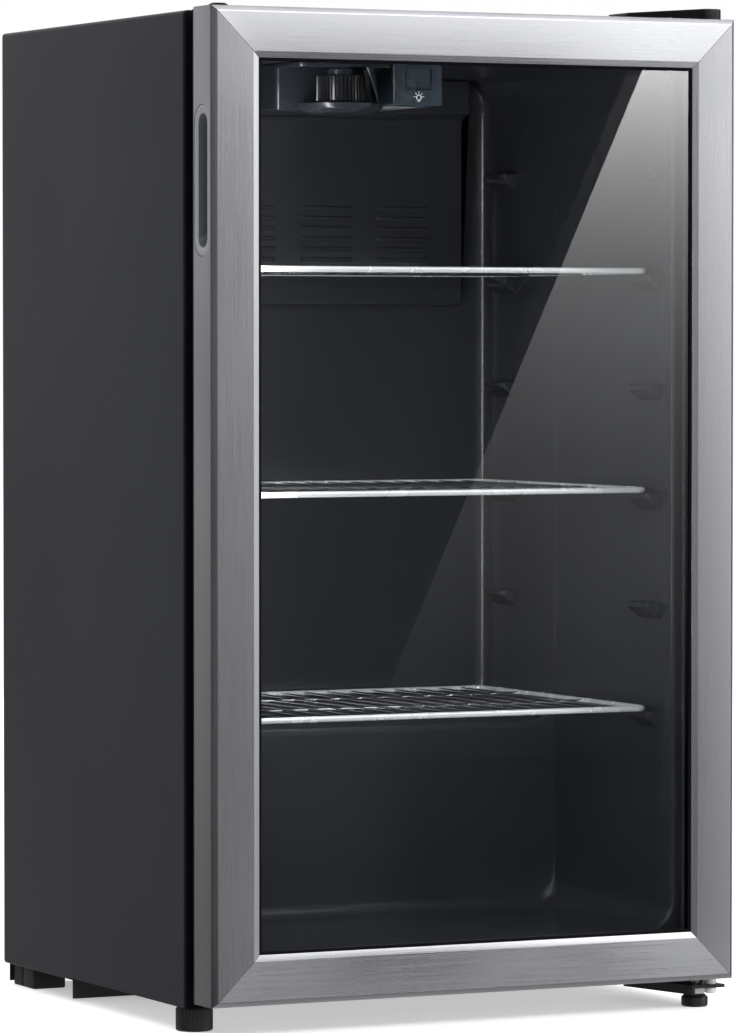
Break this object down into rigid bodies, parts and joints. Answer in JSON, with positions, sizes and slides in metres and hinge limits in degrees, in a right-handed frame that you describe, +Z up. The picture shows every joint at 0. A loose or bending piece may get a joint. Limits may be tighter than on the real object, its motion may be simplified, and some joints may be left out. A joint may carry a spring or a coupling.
{
  "type": "glass-door beverage cooler",
  "caption": "Free-standing glass-door beverage cooler: steel-framed double-glazed door on side hinges, wire shelves, ceiling controls and a rear compressor niche.",
  "frame": {"origin": "on the floor, under the middle of the object", "axes": "+X to the right as seen from the front, +Y to the back, +Z up; the door faces -Y"},
  "size_m": [0.48, 0.44, 0.8375],
  "materials": {
    "brushed_steel": "satin",
    "charcoal_paint": "satin",
    "black_paint": "satin",
    "galvanised_sheet": "satin",
    "zinc_plate": "satin",
    "chrome_wire": "gloss",
    "copper_pipe": "satin",
    "spacer_bar": "matte",
    "black_plastic": "matte",
    "liner_plastic": "gloss",
    "slate_plastic": "satin",
    "grey_plastic": "satin",
    "rubber": "matte",
    "foam": "matte",
    "clear_glass": "gloss",
    "lamp_lens": "satin"
  },
  "bodies": {
    "cabinet": {"cabinet_wrap": "charcoal_paint", "front_sill": "black_paint", "lower_hinge_bracket": "black_paint", "compressor": "black_paint", "back_panel": "galvanised_sheet", "bottom_panel": "galvanised_sheet", "niche_panel": "galvanised_sheet", "base_plate": "galvanised_sheet", "thermostat_body": "galvanised_sheet", "upper_hinge_bracket": "zinc_plate", "upper_hinge_pin": "zinc_plate", "lower_hinge_pin": "zinc_plate", "hinge_washer": "zinc_plate", "upper_hinge_screw_1": "zinc_plate", "upper_hinge_screw_2": "zinc_plate", "lower_hinge_screw_1": "zinc_plate", "lower_hinge_screw_2": "zinc_plate", "discharge_pipe": "copper_pipe", "suction_pipe": "copper_pipe", "condenser_pipe": "copper_pipe", "filter_drier": "copper_pipe", "hinge_cover": "black_plastic", "switch_body": "black_plastic", "start_relay_box": "black_plastic", "terminal_box": "black_plastic", "drip_tray": "black_plastic", "inner_liner": "liner_plastic", "rear_air_cover": "liner_plastic", "control_housing": "slate_plastic", "grommet_1": "rubber", "grommet_2": "rubber", "grommet_3": "rubber", "grommet_4": "rubber", "rear_foot_left": "rubber", "rear_foot_right": "rubber", "cord_gland": "rubber", "foam_insulation": "foam", "lamp_lens": "lamp_lens"},
    "door": {"frame_left": "brushed_steel", "frame_right": "brushed_steel", "frame_top": "brushed_steel", "frame_bottom": "brushed_steel", "door_back_frame": "black_plastic", "outer_glass": "clear_glass", "inner_glass": "clear_glass", "glass_spacer": "spacer_bar", "door_gasket": "rubber", "pocket_handle": "grey_plastic", "lower_hinge_bush": "grey_plastic", "upper_hinge_bush": "grey_plastic", "hinge_hole_plug": "black_plastic"},
    "thermostat_wheel": {"thermostat_dial": "black_plastic"},
    "light_switch_rocker": {"light_rocker": "slate_plastic"},
    "lower_rack": {"lower_shelf": "chrome_wire"},
    "middle_rack": {"middle_shelf": "chrome_wire"},
    "upper_rack": {"upper_shelf": "chrome_wire"},
    "left_foot": {"front_foot_left_pad": "black_plastic", "front_foot_left_stud": "zinc_plate"},
    "right_foot": {"front_foot_right_pad": "black_plastic", "front_foot_right_stud": "zinc_plate"}
  },
  "joints": [
    {"name": "door_hinge", "type": "hinge", "parent": "cabinet", "child": "door", "pos_m": [0.228, -0.2, 0.427], "axis": [0, 0, 1], "range_deg": [0, 115]},
    {"name": "thermostat_turn", "type": "hinge", "parent": "cabinet", "child": "thermostat_wheel", "pos_m": [-0.06, -0.082, 0.77], "axis": [0, 0, 1], "range_deg": [0, 300]},
    {"name": "light_rocker_tilt", "type": "hinge", "parent": "cabinet", "child": "light_switch_rocker", "pos_m": [0, -0.096, 0.7805], "axis": [0, 0, 1], "range_deg": [-14, 0]},
    {"name": "lower_shelf_slide", "type": "slide", "parent": "cabinet", "child": "lower_rack", "axis": [0, -1, 0], "range_m": [0, 0.04]},
    {"name": "middle_shelf_slide", "type": "slide", "parent": "cabinet", "child": "middle_rack", "axis": [0, -1, 0], "range_m": [0, 0.04]},
    {"name": "upper_shelf_slide", "type": "slide", "parent": "cabinet", "child": "upper_rack", "axis": [0, -1, 0], "range_m": [0, 0.04]},
    {"name": "left_foot_screw", "type": "slide", "parent": "cabinet", "child": "left_foot", "axis": [0, 0, -1], "range_m": [0, 0.006]},
    {"name": "right_foot_screw", "type": "slide", "parent": "cabinet", "child": "right_foot", "axis": [0, 0, -1], "range_m": [0, 0.006]}
  ]
}
